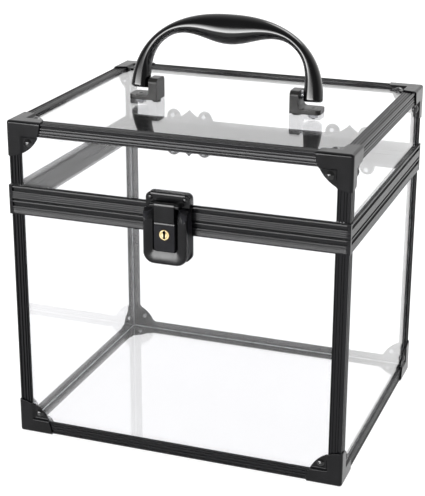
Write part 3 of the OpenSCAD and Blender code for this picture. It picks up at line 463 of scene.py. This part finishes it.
def studio_floor():
    """Pale painted studio floor: matt, with hardly visible clouds."""
    material, tree, principled = shader("pale_studio_floor", Roughness=0.6, Emission_Strength=0.95)
    place = node(tree, "ShaderNodeTexCoord").outputs["Object"]
    cloud = node(tree, "ShaderNodeTexNoise", {"Vector": place, "Scale": 3.0})
    mix = {SHARE: cloud.outputs[0], FIRST: linear("666667"), SECOND: linear("6c6c6c")}
    tone = node(tree, "ShaderNodeMix", mix, data_type="RGBA")
    feed(tree, principled, Base_Color=tone.outputs[MIXED])
    return material


ANODISED = {axis: anodised(axis) for axis in "xyz"}
STEEL_BLACK = pressed_steel()
ZINC = cast_zinc("satin_black_cast_zinc", edge=0.6)
SHAPED_ZINC = cast_zinc("crisp_satin_black_cast_zinc", edge=0.05)
MATT_ZINC = matt_zinc()
BRACKET = bracket_metal()
NICKEL = nickel()
RIVETS = painted_rivets()
BRASS = brass()
ABS = moulded_handle()
ACRYLIC = acrylic()
CEMENT = acrylic_cement()


# Acrylic sheets


def sheet(name, body):
    """Sheet with polished edges: over the six faces of its box, each point P goes to Q + r (P - Q)/|P - Q|,
    where Q is the nearest point of the box shrunk by the edge radius r. The grid's lines lie by the edges,
    at r (1 - cos a) for a up to a quarter turn."""
    low, high = node_box(name) + np.array([[AIR], [-AIR]])
    size, r = high - low, 0.4
    by_edge = r * (1 - np.cos(np.linspace(0, np.pi / 2, 5)))
    count = 2 * len(by_edge)
    points, faces = [], []
    for flat in range(3):
        u, v = (flat + 1) % 3, (flat + 2) % 3
        lines = [np.concatenate([by_edge, size[k] - by_edge[::-1]]) for k in (u, v)]
        for end in (0, 1):
            grid = np.zeros((count, count, 3))
            grid[..., u], grid[..., v] = np.meshgrid(*lines, indexing="ij")
            grid[..., flat] = size[flat] * end
            grid = grid.reshape(-1, 3)
            nearest = np.clip(grid, r, size - r)
            way = grid - nearest
            faces.append(lattice(count, count, closed=False) + sum(map(len, points)))
            points.append(low + nearest + r * way / np.linalg.norm(way, axis=1, keepdims=True))
    piece(f"sheet_{name}", np.vstack(points), np.vstack(faces), ACRYLIC, body, [name], sharp=60)


def sheets():
    """The bottom or the top and the four walls of the body and of the lid."""
    for level, body in LEVELS.items():
        sheet(f"{level}_panel", body)
        for side in SIDES:
            sheet(f"{body}_{side}_panel", body)


def cement_lines():
    """Fillets of cement where two sheets meet: a triangle carried along each inner edge, which stops short of
    the other two in the corners of the box, and short of the rims' inner lips at the seam."""
    leg, lip_reach = 0.6, 7.5
    inner = SKIN + SHEET_T
    start = inner + leg + AIR
    corner = inner + np.array([[0, 0], [leg, 0], [0, leg]])
    for body, top, seam in (("body", False, BODY_EDGE), ("lid", True, BOX_HIGH[2] - LID_EDGE)):
        upright, ends = bar((np.full(3, start), corner), (np.full(3, seam - lip_reach), corner))
        bars = [at_corner(np.roll(upright, 2, axis=1), name, top) for name in CORNERS]
        heights = MIDDLE[2] + (1 if top else -1) * (HALF[2] - corner[:, 1])
        level = np.column_stack([corner[:, 0], heights])
        for side in range(len(SIDES)):
            half = HALF[side % 2] - start
            fillet, ends = bar((np.full(3, -half), level), (np.full(3, half), level))
            bars.append(on_side(fillet, side))
        faces = [[k + n * len(upright) for k in end] for n in range(len(bars)) for end in ends]
        piece(f"cement_lines_{body}", np.vstack(bars), faces, CEMENT, body)


sheets()
cement_lines()


# Angle frame


def angle_section():
    """L section by its distance from two outer planes: round outer edge, four grooves on each leg, of which
    the one by the edge is the widest, and between them lands that lean towards the edge."""
    edge_r, lip_r, groove_r, side_r, back_r, root_r = 1.1, 0.2, 0.12, 0.35, 0.15, 0.3
    groove_depth, lean = 0.9, math.tan(math.radians(8))
    grooves = np.array([(1.5, 3.0), (4.0, 4.8), (6.4, 7.1), (8.2, 8.8)])
    lands = np.append(grooves[1:, 0], ANGLE_W) - grooves[:, 1]
    along, depth, radii = [], [], []
    for (start, stop), land in zip(grooves, lands):
        along += [start, start, stop, stop]
        depth += [0, groove_depth, groove_depth, lean * land]
        radii += [lip_r, groove_r, groove_r, lip_r]
    along += [ANGLE_W, ANGLE_W]
    depth += [0, ANGLE_T - AIR]
    radii += [side_r, back_r]
    leg = CAP_T + np.column_stack([along, depth])
    inner = CAP_T + ANGLE_T - AIR
    corners = np.vstack([[[CAP_T, CAP_T]], leg, [[inner, inner]], leg[::-1, ::-1]])
    return rounded(corners, [edge_r, *radii, root_r, *radii[::-1]], steps=4)


def angle_frame():
    """Rails and posts: each point of a section ends where its larger distance from the other two outer
    planes says, which is the three-way mitre under the protectors."""
    section = angle_section()
    mitre = section.max(axis=1)
    for side, name in enumerate(SIDES):
        half, metal = HALF[side % 2], ANODISED["xy"[side % 2]]
        for level, body in LEVELS.items():
            points, faces = bar((mitre - half, section), (half - mitre, section))
            if level == "top":
                points[:, 2] = BOX_HIGH[2] - points[:, 2]
            rail = f"{level}_{name}_rail"
            piece(f"angle_{rail}", on_side(points, side), faces, metal, body, [rail])
    for corner in CORNERS:
        for body in LEVELS.values():
            post = f"{body}_post_{corner}"
            length = np.ptp(node_box(post)[:, 2]) + CAP_T - AIR
            points, faces = bar((mitre, section), (np.full(len(section), length), section))
            points = at_corner(np.roll(points, -1, axis=1), corner, top=body == "lid")
            piece(f"angle_{post}", points, faces, ANODISED["z"], body, [post])


angle_frame()


# Rims


def rim_section(tongue):
    """Section of a rim as depth from the outer plane and height from the seam: a face of lands that lean
    back towards the top, some cut into teeth, with recesses between them, then a web and a lip behind the
    sheet, and a tongue or the room for it."""
    deep, tooth_gap, chamfer, soft_r = 1.4, 0.35, 0.45, 0.08
    lip_t, lip_h, web_t, tongue_h, tongue_t, ceiling = 1.2, 7.0, 1.6, 2.0, 1.2, 3.1
    # Lands by the heights they lie between, their count of teeth and the degrees that these lean. The teeth
    # are coarser than the real ribs may be, so that they show.
    if tongue:
        lands = ((0.6, 1.5, 1, 9), (4.5, 7.4, 2, 8), (7.4, 9.7, 1, 9))
    else:
        lands = ((0.8, 6.0, 4, 8), (8.9, 9.9, 1, 9))
    face, reached = [], 0
    for low, high, count, lean in lands:
        if low > reached:
            face += [[deep, reached], [deep, low]]
        pitch = (high - low + tooth_gap) / count
        tooth = pitch - tooth_gap
        set_back = tooth * math.tan(math.radians(lean))
        for start in low + pitch * np.arange(count):
            face += [[set_back * tongue, start], [set_back * (not tongue), start + tooth]]
        reached = high
    # The body's rim ends in a chamfer, the lid's in a recess at the sheet
    face += [[chamfer, RIM_H]] if tongue else [[deep, reached], [deep, RIM_H]]
    skin, lip = SKIN - AIR, RIM_DEPTH - lip_t
    web = web_t if tongue else ceiling + web_t
    back = [[skin, RIM_H], [skin, web], [lip, web], [lip, lip_h], [RIM_DEPTH, lip_h], [RIM_DEPTH, 0]]
    if tongue:
        out = SKIN + (SHEET_T - tongue_t) / 2
        back += [[out + tongue_t, 0], [out + tongue_t, -tongue_h], [out, -tongue_h], [out, 0]]
    else:
        back += [[lip, 0], [lip, ceiling], [skin, ceiling], [skin, 0]]
    return rounded(face + back, soft_r)


def rims():
    """Rims with ends cut at 45 degrees: a point ends as far from the corner as it lies deep. Near the ends
    the recesses run out, so that the corner is plain: there a face point's depth goes to none."""
    plain, run_out = 2.4, 0.5
    for body, seam, up in (("body", BODY_EDGE, -1), ("lid", LID_EDGE, 1)):
        section = rim_section(tongue=body == "body")
        behind_face = section[:, 0] > SKIN - 2 * AIR
        flush = np.column_stack([section[:, 0] * behind_face, section[:, 1]])
        from_corner = (
            (flush[:, 0], flush),
            (np.full(len(section), plain), flush),
            (np.full(len(section), plain + run_out), section),
        )
        for side, name in enumerate(SIDES):
            half, metal = HALF[side % 2], ANODISED["xy"[side % 2]]
            rings = [(at - half, shape) for at, shape in from_corner]
            rings += [(half - at, shape) for at, shape in from_corner[::-1]]
            points, faces = bar(*rings)
            points[:, 2] = seam + up * points[:, 2]
            rim = f"{body}_{name}_rim"
            piece(f"ribbed_{rim}", on_side(points, side), faces, metal, body, [rim], sharp=6)


rims()


# Corner protectors


def protector():
    """Pressed corner by its distances from the three outer planes. Each face is a fan of radius rho and
    angle theta over its plane; rho runs out over the metal's outside, round its edge and back inside. A fan
    point P rounds to Q + (r - sink)(P - Q)/|P - Q|, with Q the nearest point at least r deep, and lobes sink
    where both distances pass the step."""
    r, nose, step_w = 2.0, 0.4, 1.3
    thick = CAP_T - AIR
    turn = np.linspace(0, np.pi, 9)[1:-1]
    out = np.linspace(0, CAP_R - nose, 56)
    rho = np.concatenate([out, CAP_R - nose + nose * np.sin(turn), out[::-1]])
    sink = np.concatenate([0 * out, thick * (1 - np.cos(turn)) / 2, 0 * out + thick])
    theta = np.linspace(0, np.pi / 2, 49)
    u, v = rho[:, None] * np.cos(theta), rho[:, None] * np.sin(theta)
    flat = np.stack([u, v, 0 * u], axis=-1)
    nearest = np.maximum(flat, r)
    way = flat - nearest
    way /= np.linalg.norm(way, axis=-1, keepdims=True)
    face = nearest + (r - sink[:, None, None]) * way
    step = np.clip((np.minimum(u, v) - CAP_T - ANGLE_W) / step_w, 0, 1)
    face[..., 2] += ANGLE_T * step**2 * (3 - 2 * step)
    grid = lattice(len(rho), len(theta), closed=False)
    points = np.vstack([np.roll(face.reshape(-1, 3), k, axis=1) for k in range(3)])
    return points, np.vstack([grid + k * u.size for k in range(3)])


def protectors():
    """The same pressed corner, mirrored into all eight corners of the box."""
    points, faces = protector()
    for corner in CORNERS:
        for level, body in LEVELS.items():
            cap = f"{level}_corner_{corner}"
            placed = at_corner(points, corner, top=level == "top")
            piece(f"pressed_{cap}", placed, faces, STEEL_BLACK, body, [cap])


protectors()


# Latch


def latch_bead():
    """Rounded U on the lock case. Across it, share s runs from an inner to an outer U-shaped curve. The
    height over the box's front rises to the ridge as D - k (s0 - s)^1.3, and from there it is
    D - h (1 - (1 - t^2.4)^(1/2.4)), where t runs from the ridge to the outer curve. Towards the tops of the
    arms it sinks by a slope and by most of a quarter of an ellipse."""
    low, high = node_box("lock_case")
    # The bead lies over the case's own U like a skin, and ends just under the tops of its arms
    skin_t, top_gap = 0.06, 0.2
    half, bottom, top = (high[0] - low[0]) / 2 + skin_t, low[2] - skin_t, high[2] - top_gap
    arm_w, bar_w, inner_r, outer_r = 7.0, 9.2, 2.5, 8.0
    ridge, ridge_at, inner_drop, inner_power, edge_drop, edge_power = 11.12, 0.76, 2.1, 1.3, 2.0, 2.4
    foot, lowest, sink_over, slope, sink, quarter = 7.9, 7.0, 8.4, 1.2, 2.2, 0.98

    def u_curve(half_w, base, r):
        """From the top of the left arm down, round the bottom and up the right arm."""
        turn = np.linspace(0, np.pi / 2, 13)[1:]
        arm = np.linspace(top, base + r, 40)
        straight = np.column_stack([half_w + 0 * arm, arm])
        bend = np.column_stack([half_w - r + r * np.cos(turn), base + r - r * np.sin(turn)])
        right = np.vstack([straight, bend])
        return np.vstack([right * (-1, 1), right[::-1]])

    inner = u_curve(half - arm_w, bottom + bar_w, inner_r)
    outer = u_curve(half, bottom, outer_r)
    to_ridge = np.linspace(0, ridge_at, 12)[:-1]
    to_edge = 1 - (1 - ridge_at) * np.cos(np.linspace(0, np.pi / 2, 14))
    s = np.concatenate([to_ridge, to_edge])
    t = np.clip((s - ridge_at) / (1 - ridge_at), 0, 1)
    height = ridge - inner_drop * np.maximum(ridge_at - s, 0) ** inner_power
    height -= edge_drop * (1 - (1 - t**edge_power) ** (1 / edge_power))
    # Both edges go down to the foot, which closes the section
    s, height = np.append(s, [1, 0]), np.append(height, [foot, foot])
    flat = inner[:, None] + (outer - inner)[:, None] * s[:, None]
    up = np.clip(1 - (top - flat[..., 1]) / sink_over, 0, 1)
    sunk = height - slope * up - sink * (1 - np.sqrt(1 - quarter * up**2))
    height = np.maximum(sunk, np.minimum(height, lowest))
    middle = (low[0] + high[0]) / 2
    points = np.stack([middle + flat[..., 0], BOX_LOW[1] - height, flat[..., 1]], axis=-1)
    piece("latch_bead", points.reshape(-1, 3), tube(*points.shape[:2]), SHAPED_ZINC, "body")


def shoulders():
    """Upper edges of the lock's block, the hasp and the keeper: low bars that lean back a little, so that
    they catch the light. A bar's section is a foot, then the lean over its own height, with its root
    behind."""
    low, high = node_box("lock_case")
    middle, lean = (low[0] + high[0]) / 2, math.tan(math.radians(11))
    hasp, keeper = node_box("hasp"), node_box("keeper_plate")
    root, foot = 1.0, 0.5
    # Each by its body, half its width, the height where it starts to lean, how far its face stands off the
    # box's front, and how tall it is
    bars = {
        "block": ("body", 7.4, BODY_EDGE - 1.0, 11.03, 0.9),
        "hasp": ("hasp", 7.2, hasp[1][2] - 2.0, BOX_LOW[1] - hasp[0][1] - 0.01, 1.2),
        "keeper": ("lid", 12.4, keeper[1][2] - 1.45, 4.43, 0.9),
    }
    for name, (body, half, start, face, tall) in bars.items():
        depths = np.array([face - root, face, face, face - lean * tall, face - root])
        heights = start + np.array([-foot, -foot, 0, tall, tall])
        section = np.column_stack([BOX_LOW[1] - depths, heights])
        points, faces = bar(*((np.full(len(section), middle + end), section) for end in (-half, half)))
        piece(f"latch_{name}_shoulder", points, faces, SHAPED_ZINC, body, sharp=5)


latch_bead()
shoulders()


# Handle


def bail():
    """Arch whose outer side follows half a squarish ellipse, |x/a|^m + |z/b|^m = 1. Round it runs a section
    of the same kind, |cos|^(2/n) by |sin|^(2/n), whose height and depth blend from the legs over slim
    shoulders to a swollen grip. At each end the section shrinks on a quarter circle. The whole leans back
    about its pivot."""
    width, rise, drop, leg_drop = 148.0, 53.4, 8.0, 4.5
    arch_power, section_power, lean = 2.31, 2.4, math.radians(12.4)
    heights = {"grip": 21.9, "shoulder": 7.3, "leg": 14.0}
    depths = {"grip": 17.0, "shoulder": 11.0, "leg": 12.6}
    # Degrees round the arch from its top
    grip_end, leg_from, leg_to = 43.3, 46.6, 84.5
    end_r, end_steps = 2.0, 9
    a, b = width / 2, rise + drop
    start = math.degrees(math.asin((drop - leg_drop) / b))
    closing = np.linspace(0, np.pi / 2, end_steps)
    into = start + np.degrees(end_r * (1 - np.cos(closing)) / b)
    angle = np.concatenate([into[:-1], np.linspace(into[-1], 180 - into[-1], 181), 180 - into[-2::-1]])
    inset = np.zeros_like(angle)
    inset[:end_steps] = end_r * (1 - np.sin(closing))
    inset[-end_steps:] = inset[end_steps - 1 :: -1]
    from_top = np.abs(90 - angle)
    swell = np.where(from_top < grip_end, np.cos(np.radians(90 * from_top / grip_end)) ** 2, 0)
    share = np.clip((from_top - leg_from) / (leg_to - leg_from), 0, 1)
    widen = share**2 * (3 - 2 * share)

    def blended(size):
        """A size all along the arch."""
        slim = size["shoulder"]
        return slim + (size["grip"] - slim) * swell + (size["leg"] - slim) * widen

    tall, deep = blended(heights), blended(depths)
    way = np.stack([np.cos(np.radians(angle)), np.sin(np.radians(angle))], axis=1)
    way *= (np.abs(way) ** arch_power).sum(axis=1, keepdims=True) ** (-1 / arch_power)
    slope = np.sign(way) * np.abs(way) ** (arch_power - 1) / (a, b)
    normal = slope / np.linalg.norm(slope, axis=1, keepdims=True)
    middle = way * (a, b) - (0, drop) - normal * tall[:, None] / 2
    turn = np.linspace(0, 2 * np.pi, 64, endpoint=False)
    section = np.stack([np.cos(turn), np.sin(turn)])
    section = np.sign(section) * np.abs(section) ** (2 / section_power)
    reach = section[0] * (tall / 2 - inset)[:, None]
    side = section[1] * (deep / 2 - inset)[:, None]
    up = middle[:, 1:] + normal[:, 1:] * reach
    points = np.stack(
        [
            MIDDLE[0] + middle[:, :1] + normal[:, :1] * reach,
            PIVOT[1] + math.cos(lean) * side + math.sin(lean) * up,
            PIVOT[2] + math.cos(lean) * up - math.sin(lean) * side,
        ],
        axis=-1,
    )
    faces = tube(*points.shape[:2])
    piece("moulded_handle", points.reshape(-1, 3), faces, ABS, "handle", ["handle_grip"], sharp=60)


bail()


# Finishes of the nodes that show as they are
SHOWN = {
    RIVETS: ("body_rivets", "lid_rivets"),
    NICKEL: ("hinge_pins", "lock_screws", "hasp_pin", "handle_pins", "bracket_nuts"),
    STEEL_BLACK: ("body_hinge_leaves", "lid_hinge_leaves", "bracket_screws", "lock_bolt"),
    ZINC: ("keeper_plate", "hasp"),
    MATT_ZINC: ("lock_base", "lock_case"),
    BRASS: ("key_plug",),
    BRACKET: ("handle_brackets",),
}
for material, names in SHOWN.items():
    for name in names:
        for slot in frame["nodes"][name].material_slots:
            slot.material = material


# Studio


def floor():
    """Pale floor, so wide that no view comes near its edge."""
    reach = 60.0
    square = [(-reach, -reach, 0), (reach, -reach, 0), (reach, reach, 0), (-reach, reach, 0)]
    ground = bpy.data.meshes.new("studio_floor")
    ground.from_pydata(square, [], [(0, 1, 2, 3)])
    ground.materials.append(studio_floor())
    made = bpy.data.objects.new("studio_floor", ground)
    bpy.context.scene.collection.objects.link(made)


def light():
    """White surround that is dim behind the camera, with two softboxes painted on it: a low strip in front on
    the left, and a round one high behind on the right."""
    world = bpy.data.worlds.new("studio_surround")
    bpy.context.scene.world = world
    world.use_nodes = True
    tree = world.node_tree
    tree.nodes.clear()
    way = node(tree, "ShaderNodeTexCoord").outputs["Generated"]
    parts = node(tree, "ShaderNodeSeparateXYZ", {"Vector": way}).outputs
    # How near a direction lies to each softbox, as a cosine
    aims = (Vector((-0.42, -0.91, 0)).normalized(), Vector((0.2, 0.57, 0.8)).normalized())
    to_strip, to_round = (
        node(tree, "ShaderNodeVectorMath", {0: way, 1: aim}, operation="DOT_PRODUCT").outputs["Value"]
        for aim in aims
    )
    # Each level passes softly from one value to another while its measure passes from low to high
    levels = (
        (parts["Y"], -0.6, 0.4, 0.3, 1.25),
        (parts["Z"], -0.2, 0.02, 0.0, 1.0),
        (parts["Z"], 0.28, 0.06, 0.0, 1.0),
        (to_strip, 0.88, 0.96, 0.0, 28.0),
        (to_round, 0.95, 0.98, 0.0, 8.0),
    )
    sockets = ("Value", "From Min", "From Max", "To Min", "To Max")
    surround, above, below, strip, overhead = (
        node(tree, "ShaderNodeMapRange", zip(sockets, level), interpolation_type="SMOOTHSTEP").outputs[0]
        for level in levels
    )
    rise = node(tree, "ShaderNodeMath", {0: above, 1: below}, operation="MULTIPLY").outputs[0]
    low = node(tree, "ShaderNodeMath", {0: rise, 1: strip}, operation="MULTIPLY").outputs[0]
    both = node(tree, "ShaderNodeMath", {0: low, 1: overhead}, operation="ADD").outputs[0]
    total = node(tree, "ShaderNodeMath", {0: surround, 1: both}, operation="ADD").outputs[0]
    glow = node(tree, "ShaderNodeBackground", {"Color": linear("ffffff"), "Strength": total})
    node(tree, "ShaderNodeOutputWorld", {"Surface": glow.outputs[0]})
    bpy.context.scene.view_settings.view_transform = "Standard"


def camera():
    """Camera fitted to the photograph: it looks at a point in the box from a compass angle and a height."""
    azimuth, elevation, roll = map(math.radians, (20.16, 19.91, 0.16))
    distance, target = 1.0633, Vector((-0.0098, MIDDLE[1] * MM, 0.1251))
    focal_px, frame_px, sensor = 1390.1, 496, 36.0
    level = math.cos(elevation)
    back = Vector((math.sin(azimuth) * level, -math.cos(azimuth) * level, math.sin(elevation)))
    right = (-back).cross(Vector((0, 0, 1))).normalized()
    up = back.cross(right)
    turned = math.cos(roll) * right + math.sin(roll) * up
    upright = back.cross(turned)
    lens = bpy.data.cameras.new("camera")
    lens.lens = focal_px / frame_px * sensor
    lens.sensor_width = sensor
    made = bpy.data.objects.new("camera", lens)
    aim = Matrix((turned, upright, back)).transposed().to_4x4()
    made.matrix_world = Matrix.Translation(target + back * distance) @ aim
    bpy.context.scene.collection.objects.link(made)
    bpy.context.scene.camera = made


floor()
light()
camera()
